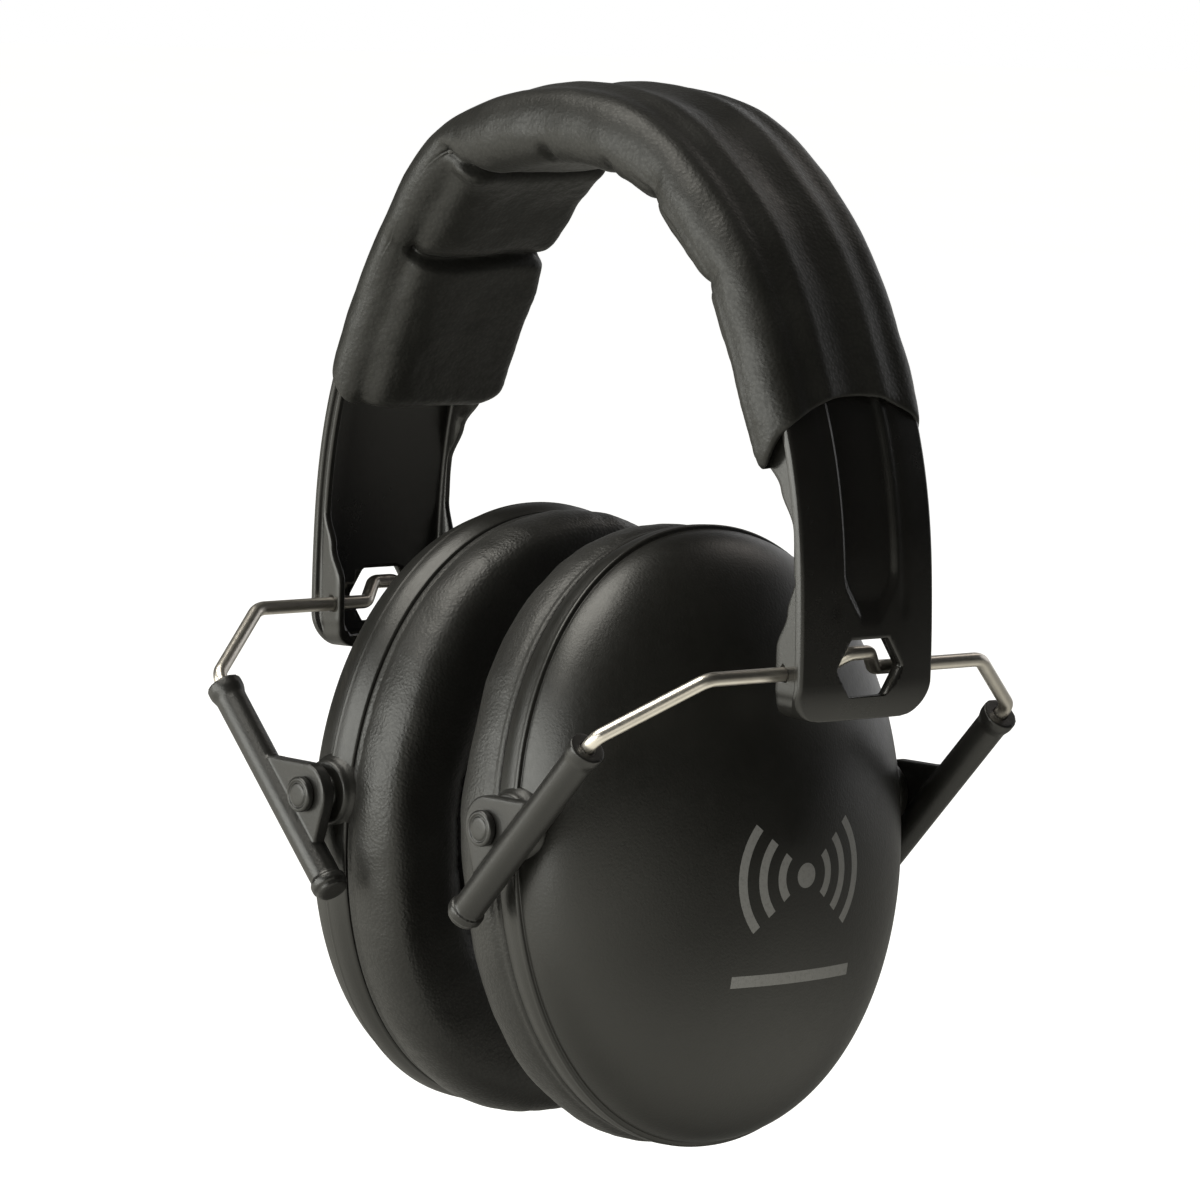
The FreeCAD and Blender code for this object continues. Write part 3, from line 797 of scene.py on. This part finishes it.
def tube(name, pts3, r, seg=28, cap=0.25):
    P = [Vector(p) for p in pts3]
    T = []
    for i in range(len(P)):
        a = P[max(0, i - 1)]
        b = P[min(len(P) - 1, i + 1)]
        T.append((b - a).normalized())
    u = T[0].orthogonal().normalized()
    rings = []
    n = len(P)
    for i in range(n):
        u = (u - T[i] * u.dot(T[i])).normalized()
        w = T[i].cross(u)
        ring = [P[i] + (u * math.cos(2 * math.pi * k / seg) + w * math.sin(2 * math.pi * k / seg)) * r for k in range(seg)]
        rings.append([tuple(v) for v in ring])
    def endcap(i, sg):
        u0 = Vector(rings[i][0]) - P[i]
        res = []
        for a in (30, 60, 80):
            t = math.radians(a)
            k = (r - cap + cap * math.cos(t)) / r
            res.append([tuple(P[i] + (Vector(v) - P[i]) * k + T[i] * sg * cap * math.sin(t)) for v in rings[i]])
        return res
    full = list(reversed(endcap(0, -1))) + rings + endcap(n - 1, 1)
    return loft(name, full)


jr = joints["yoke_swing_right"]["pos_m"]
YX, YZ = jr[0] / MM, jr[2] / MM
ax = joints["sleeve_slide_right"]["axis"]
UX, UZ = -ax[0], -ax[2]          # along the legs, away from the arm
pr = joints["cup_tilt_right"]["pos_m"]
PX, PZ = pr[0] / MM, pr[2] / MM
w_lo, w_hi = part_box("sleeve_front_right")
LEG_Y = -(w_lo.y + w_hi.y) / 2 / MM
SLV_TOP, SLV_BOT = 15.7, 59.8


def yp(y, s, off=0.0):
    """point in the yoke's plane: across y, s along the legs"""
    wx, wz = -abs(UZ), abs(UX)
    return Vector((YX + UX * s + wx * off, y, YZ + UZ * s + wz * off))


def yoke_mesh(name):
    pts_ = [(-LEG_Y, 57.0), (-LEG_Y, 13.4), (-30.0, 0), (-6.0, 0), (-2.2, -4.2), (2.2, -4.2), (6.0, 0), (30.0, 0), (LEG_Y, 13.4), (LEG_Y, 57.0)]
    path = rounded([yp(y, s) for y, s in pts_], [3.5, 4.5, 2.0, 2.0, 2.0, 2.0, 4.5, 3.5])
    return tube(name, path, 1.2)


# ------------------------------------------------------------------ sleeves
def sleeve_mesh(name, sy):
    y = sy * LEG_Y
    rel = Vector((PX - YX, 0, PZ - YZ))
    U = Vector((UX, 0, UZ))
    W = Vector((-abs(UZ), 0, abs(UX)))
    ps, po = rel.dot(U), rel.dot(W)
    bm = bmesh.new()
    cyl_mesh(bm, yp(y, SLV_TOP + 0.1), yp(y, SLV_BOT - 0.1), 2.68)
    cyl_mesh(bm, yp(y, SLV_TOP), yp(y, SLV_TOP + 1.5), 3.1)
    cyl_mesh(bm, yp(y, SLV_TOP + 1.5), yp(y, SLV_TOP + 2.9), 3.1, 2.68)
    cyl_mesh(bm, yp(y, SLV_BOT - 2.5), yp(y, SLV_BOT - 1.0), 3.12)
    cyl_mesh(bm, yp(y, SLV_BOT - 1.0), yp(y, SLV_BOT), 2.75, 2.3)
    y0, y1 = sy * 44.3, sy * 46.7
    e_r = 5.3
    cyl_mesh(bm, (PX, y0, PZ), (PX, y1, PZ), e_r, seg=64)
    # web: polygon prism from the sleeve to the eye
    c = Vector((PX, 0, PZ))
    poly = [yp(0, ps - 13.4), c + Vector((0.6, 0, e_r)), c, c + U * 4.6 + W * 2.6, yp(0, ps + 9.0)]
    vs0 = [bm.verts.new(Vector((p.x, y0, p.z)) * MM) for p in poly]
    vs1 = [bm.verts.new(Vector((p.x, y1, p.z)) * MM) for p in poly]
    n = len(poly)
    bm.faces.new(vs0)
    bm.faces.new(list(reversed(vs1)))
    for i in range(n):
        bm.faces.new((vs0[i], vs1[i], vs1[(i + 1) % n], vs0[(i + 1) % n]))
    bmesh.ops.recalc_face_normals(bm, faces=bm.faces)
    o = bm_obj(name, bm)
    voxel(o, 0.24, 5, 0.55)
    # mouth round the wire and the bore end
    bm = bmesh.new()
    cyl_mesh(bm, yp(y, SLV_TOP - 1.5), yp(y, SLV_TOP + 4.0), 1.42)
    boolean(o, bm_obj("mouth", bm))
    return o


# --------------------------------------------------------------------- cups
tilt = math.radians(3.5)
CZ = -110.0
RIM_X, BAND_X, DOME_R, DOME_T, DOME_P = 19.66, 24.7, 51.2, 22.5, 1.5
SC = 41.3 / 52.0
SUP = 2.10


def lean(P):
    """turn a right-cup point array about the pivot line to its rest lean"""
    P = np.asarray(P, float)
    dx, dz = P[..., 0] - PX, P[..., 2] - PZ
    c, s = math.cos(-tilt), math.sin(-tilt)
    out = P.copy()
    out[..., 0] = PX + dx * c + dz * s
    out[..., 2] = PZ - dx * s + dz * c
    return out


def oval(r, n=200, k=SUP):
    t = np.linspace(0, 2 * math.pi, n, endpoint=False)
    c, s = np.cos(t), np.sin(t)
    e = 2.0 / k
    return np.c_[np.sign(c) * np.abs(c) ** e * r * SC, np.sign(s) * np.abs(s) ** e * r]


def cup_mesh(name):
    # (x, radius) from inside the mouth, round the rim and over the dome
    prof = [(26.0, 47.4), (24.0, 49.0), (22.6, 49.3), (20.6, 49.35), (19.95, 49.45), (19.72, 49.7), (19.66, 50.1), (19.66, 50.7), (19.72, 51.05), (19.95, 51.25), (20.3, 51.34)]
    prof += [(x, 51.34 + 0.60 * (x - 20.3) / 3.7 + 0.26 * math.sin(math.pi * (x - 20.3) / 3.7)) for x in np.linspace(20.6, 24.0, 12)]
    prof += [(24.25, 51.99), (24.45, 51.98), (24.62, 51.9), (24.75, 51.72), (24.80, 51.5), (24.83, 51.25), (24.92, 51.14), (25.05, 51.16), (25.2, 51.19)]
    n = 70
    first = True
    for i in range(0, n + 1):
        a = (i / n) * (math.pi / 2)
        v = math.sin(a)
        k = max(0.0, 1 - v * v) ** (1.0 / DOME_P)
        x, r = BAND_X + DOME_T * v, DOME_R * k
        if x < 25.5:
            continue
        prof.append((x, max(r, 0.02)))
    # inner wall, back from the apex
    rings = []
    for x, r in prof:
        o2 = oval(r, 240, 2.0 + (SUP - 2.0) * min(1.0, r / 45.0))
        rings.append(np.c_[np.full(len(o2), x), o2[:, 0], CZ + o2[:, 1]])
    inner = []
    for i in range(0, 30):
        a = (i / 29) * (math.pi / 2)
        v = math.cos(a)
        k = max(0.0, 1 - v * v) ** (1.0 / DOME_P)
        x, r = BAND_X + (DOME_T - 2.3) * v, (DOME_R - 2.3) * k
        o2 = oval(max(r, 0.02), 240, 2.0 + (SUP - 2.0) * min(1.0, r / 45.0))
        inner.append(np.c_[np.full(len(o2), x), o2[:, 0], CZ + o2[:, 1]])
    # the inner wall comes first so that the shell is one closed skin
    all_r = [r for r in inner if r[0, 0] > 26.3] + rings
    return loft(name, lean(np.array(all_r)))


def boss_mesh(name, sy):
    # a flared round boss that carries the pivot, standing off the cup's rim
    prof = [(6.6, 38.4), (6.5, 39.6), (6.2, 40.4), (5.75, 41.0), (5.5, 41.5), (5.42, 41.95), (5.2, 42.2), (4.9, 42.3), (3.5, 42.3), (3.15, 42.4), (3.0, 42.65), (2.98, 43.7), (2.85, 43.95), (2.6, 44.0), (0.4, 44.0)]
    o = lathe(name, [(r, h) for r, h in prof], (PX, 0, PZ), (0, sy, 0))
    return o


def pin_mesh(name, sy):
    prof = [(1.75, 43.0), (1.75, 46.7), (2.2, 46.9), (2.75, 46.9), (2.95, 47.0), (3.0, 47.2), (3.0, 47.75), (2.93, 48.0), (2.75, 48.15), (2.5, 48.2),
            (2.32, 48.16), (2.24, 48.02), (2.1, 47.96), (1.96, 48.02), (1.88, 48.14), (1.7, 48.2), (1.2, 48.22), (0.6, 48.23), (0.1, 48.23)]
    return lathe(name, prof, (PX, 0, PZ), (0, sy, 0), 80)


# ------------------------------------------------------------------ cushions
def cushion_mesh(name, seed):
    # section control: w = 0 inner wall .. 1 outer wall, h = height off the plate (mm)
    ctl = np.array([(0.955, 0.02), (0.985, 0.35), (1.000, 1.0), (0.992, 1.55), (1.004, 2.3), (1.022, 4.2), (1.020, 6.6), (0.990, 8.9), (0.925, 10.7), (0.82, 11.65),
                    (0.66, 11.98), (0.48, 12.02), (0.30, 11.85), (0.155, 11.1), (0.055, 9.7), (0.005, 7.6), (-0.004, 5.0), (0.02, 2.4), (0.05, 0.6), (0.09, 0.02),
                    (0.30, 0.0), (0.55, 0.0), (0.80, 0.0)])
    closed = np.vstack([ctl, ctl[:1]])
    sc = closed * [21.0, 1.0]
    ch = np.r_[0, np.cumsum(np.linalg.norm(np.diff(sc, axis=0), axis=1))]
    # periodic extension for smoothness
    ext_t = np.r_[ch[:-1] - ch[-1], ch[:-1], ch[:-1] + ch[-1], [2 * ch[-1]]]
    ext_p = np.vstack([closed[:-1], closed[:-1], closed[:-1], closed[:1]])
    f = natural_spline(ext_t, ext_p)
    M = 120
    tt_ = np.linspace(0, ch[-1], M, endpoint=False)
    sec = f(tt_)
    N = 420
    th = np.linspace(0, 2 * math.pi, N, endpoint=False)
    e = 2.0 / SUP
    c, s = np.cos(th), np.sin(th)
    oz = np.sign(s) * np.abs(s) ** e * 51.25
    oy = np.sign(c) * np.abs(c) ** e * 40.65
    iz, iy = 30.0 * s, 23.6 * c
    verts = []
    sec_s = np.c_[sec[:, 0] * 21.0, sec[:, 1]]
    dn = np.roll(sec_s, -1, 0) - np.roll(sec_s, 1, 0)
    nn = np.c_[dn[:, 1], -dn[:, 0]]
    nn /= np.linalg.norm(nn, axis=1)[:, None]
    cc = np.array([0.5 * 21.0, 6.0])
    if ((sec_s - cc) * nn).sum() < 0:
        nn = -nn
    for i in range(N):
        ry, rz = oy[i] - iy[i], oz[i] - iz[i]
        ln = math.hypot(ry, rz)
        for j in range(M):
            w, h = sec[j]
            py, pz = iy[i] + ry * w, iz[i] + rz * w
            soft = min(1.0, max(0.0, (h - 0.8) / 2.5))
            a = n3(py + seed, pz, h, 0.055) * 0.55 + n3(py, pz + seed, h + 9, 0.15) * 0.22
            # gathered wrinkles where the skin turns into the ear well and over the outer edge
            turn = math.exp(-((w - 0.06) / 0.10) ** 2) * 1.0 + math.exp(-((w - 1.0) / 0.06) ** 2) * 0.35
            wr = noise.noise(Vector((th[i] * 16 + seed, w * 1.3, h * 0.12))) * 0.34 + noise.noise(Vector((th[i] * 37, w * 2.0 + seed, h * 0.2))) * 0.14
            dd = (a * 0.8 + wr * turn) * soft
            w2 = w + nn[j, 0] * dd / ln
            h2 = h + nn[j, 1] * dd
            verts.append((CUSH_TOP - h2, iy[i] + ry * w2, CZ + iz[i] + rz * w2))
    faces = grid_faces(N, M, True, True)
    v = lean(np.array(verts))
    return mesh_obj(name, v, faces)


CUSH_TOP = 19.60


def liner_mesh(name, seed):
    """open-cell foam block inside the cup; the face in the ear well is uneven"""
    rings = []
    R = 46.0
    for k in np.linspace(0.02, 1.0, 44):
        o2 = oval(R * k, 160, 2.0)
        ring = []
        for y, z in o2:
            b = n3(y + seed, z, 0, 0.11) * 1.1 + n3(y, z + seed, 4, 0.33) * 0.45
            edge = 1.6 * max(0.0, (k - 0.93) / 0.07) ** 2
            ring.append((28.0 - 0.5 + b + edge, y, CZ + z))
        rings.append(ring)
    for x, k in ((30.5, 0.995), (32.0, 0.96), (33.5, 0.90)):
        o2 = oval(R * k, 160, 2.0)
        rings.append([(x, y, CZ + z) for y, z in o2])
    return loft(name, lean(np.array(rings)))


# ----------------------------------------------------------------- assembly
o = frame_mesh()
put(o, "headband", M_BAND, ["headband_frame"])

o = cover_mesh()
put(o, "headband", M_COVER, ["headband_cover", "headband_pad"])

for side_ in ("right", "left"):
    def make(fn, nm, *a):
        ob = fn(nm, *a)
        if side_ == "left":
            c = mirrored(ob, nm + ".L")
            bpy.data.objects.remove(ob)
            c.name = nm
            return c
        return ob
    w = make(yoke_mesh, "yoke_wire_bright_" + side_)
    put(w, "yoke_" + side_, M_WIRE, ["yoke_wire_" + side_])
    for sy, fr in ((-1, "front"), (1, "rear")):
        s = make(sleeve_mesh, "sleeve_%s_%s_moulded" % (fr, side_), sy)
        put(s, "slider_" + side_, M_SLEEVE, ["sleeve_%s_%s" % (fr, side_)])
        p = make(pin_mesh, "pivot_pin_%s_%s" % (fr, side_), sy)
        put(p, "cup_" + side_, M_PIN, ["pivot_pins_" + side_] if sy < 0 else ())
        b = make(boss_mesh, "pivot_boss_%s_%s" % (fr, side_), sy)
        put(b, "cup_" + side_, M_CUP)
    c = make(cup_mesh, "cup_shell_moulded_" + side_)
    put(c, "cup_" + side_, M_CUP_PRINT if side_ == "right" else M_CUP, ["cup_shell_" + side_])
    k = make(cushion_mesh, "ear_cushion_soft_" + side_, 3.0 if side_ == "right" else 11.0)
    put(k, "cup_" + side_, M_CUSHION, ["ear_cushion_skin_" + side_, "ear_cushion_foam_" + side_])
    f = make(liner_mesh, "acoustic_foam_block_" + side_, 5.0)
    put(f, "cup_" + side_, M_FOAM, ["acoustic_foam_" + side_])
    node = frame["nodes"]["cushion_plate_" + side_]
    node.data.materials.clear()
    node.data.materials.append(M_PLATE)

# -------------------------------------------------------------------- stage
lo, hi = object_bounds()
floor_z = lo.z
bm = bmesh.new()
bmesh.ops.create_circle(bm, cap_ends=True, segments=96, radius=6.0)
floor = bm_obj("studio_floor", bm)
# the band is held, so the floor lies below the lowest place that the cups swing and slide to
floor.location = (0, 0, floor_z - 0.030)
fm, nt, b = new_mat("floor_pale")
co = tex_coord(nt)
nz_ = add_noise(nt, co, 8, 3)
nt.links.new(mix_col(nt, nz_, (0.30, 0.30, 0.29), (0.34, 0.34, 0.33)), b.inputs["Base Color"])
lp_ = nt.nodes.new("ShaderNodeLightPath")
pale = mix_col(nt, nz_, (0.82, 0.82, 0.81), (0.84, 0.84, 0.83))
nt.links.new(mix_col(nt, lp_.outputs["Is Camera Ray"], (0.85, 0.83, 0.72), pale), b.inputs["Emission Color"])
sp_ = nt.nodes.new("ShaderNodeSeparateXYZ")
nt.links.new(co, sp_.inputs[0])
# a bounce card's worth of light comes off the table in front of the object
front = ramp(nt, sp_.outputs["Y"], 0.95, 0.06, -0.20, 0.02)
# and a short patch of it beside the near cup
patch = math_node(nt, "MULTIPLY", ramp(nt, sp_.outputs["X"], 1.0, 0.0, 0.12, 0.22), ramp(nt, sp_.outputs["X"], 0.0, 0.80, 0.02, 0.07))
patch = math_node(nt, "MULTIPLY", patch, ramp(nt, sp_.outputs["Y"], 1.0, 0.0, 0.06, 0.22))
front = math_node(nt, "MAXIMUM", front, patch)
cam_ray = lp_.outputs["Is Camera Ray"]
front = math_node(nt, "MULTIPLY", front, math_node(nt, "SUBTRACT", 1.0, cam_ray))
front = math_node(nt, "ADD", front, cam_ray)
nt.links.new(math_node(nt, "MULTIPLY", front, 1.2), b.inputs["Emission Strength"])
b.inputs["Roughness"].default_value = 0.9
b.inputs["Specular IOR Level"].default_value = 0.1
floor.data.materials.append(fm)
floor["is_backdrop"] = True

world = bpy.data.worlds.new("studio")
scene.world = world
world.use_nodes = True
wn = world.node_tree
bg = wn.nodes["Background"]
bg.inputs["Color"].default_value = (1, 1, 1, 1)
bg.inputs["Strength"].default_value = 1.0
bg2 = wn.nodes.new("ShaderNodeBackground")
bg2.inputs["Color"].default_value = (1, 1, 1, 1)
bg2.inputs["Strength"].default_value = 0.025
lp = wn.nodes.new("ShaderNodeLightPath")
mx = wn.nodes.new("ShaderNodeMixShader")
wn.links.new(lp.outputs["Is Camera Ray"], mx.inputs["Fac"])
wn.links.new(bg2.outputs[0], mx.inputs[1])
wn.links.new(bg.outputs[0], mx.inputs[2])
wn.links.new(mx.outputs[0], wn.nodes["World Output"].inputs["Surface"])

# camera at the photograph's viewing angle
cam_d = bpy.data.cameras.new("cam")
cam = bpy.data.objects.new("cam", cam_d)
scene.collection.objects.link(cam)
cam_d.sensor_width = 36.0
cam_d.lens = 226.86
cam_d.clip_start, cam_d.clip_end = 0.05, 50
right = Vector((0.64856551, 0.76077679, 0.0241133))
up = Vector((-0.09674378, 0.05096893, 0.99400343))
back = Vector((0.75498571, -0.64700915, 0.10665711))
cam.matrix_world = Matrix((
    (right.x, up.x, back.x, 0.96148045),
    (right.y, up.y, back.y, -0.82678569),
    (right.z, up.z, back.z, 0.06318695),
    (0, 0, 0, 1)))
scene.camera = cam

target = Vector((0, 0, -0.07))


def area(name, pos, size, energy, sy=None, col=(1, 1, 1)):
    ld = bpy.data.lights.new(name, "AREA")
    ld.shape = "RECTANGLE"
    ld.size = size
    ld.size_y = sy or size
    ld.energy = energy
    ld.color = col
    ob = bpy.data.objects.new(name, ld)
    scene.collection.objects.link(ob)
    ob.location = pos
    ob.rotation_mode = "QUATERNION"
    ob.rotation_quaternion = (target - Vector(pos)).to_track_quat("-Z", "Y")
    return ob


area("key", (-0.29, -0.44, 0.98), 0.96, 14.0, 0.80, (1.0, 0.972, 0.885))
area("front_strip", (-0.25, -1.08, 0.10), 1.60, 16.5, 0.60, (0.98, 0.985, 0.925))
area("back_left", (-0.85, 0.75, 0.30), 0.5, 0.15, 0.6)
area("back_fill", (-0.20, 1.15, 0.20), 1.30, 2.6, 0.70)
area("back_top", (-0.10, 0.85, 0.72), 0.35, 0.6, 0.35, (1.0, 0.93, 0.86))

scene.view_settings.view_transform = "Standard"
scene.view_settings.look = "None"

lo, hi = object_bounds()
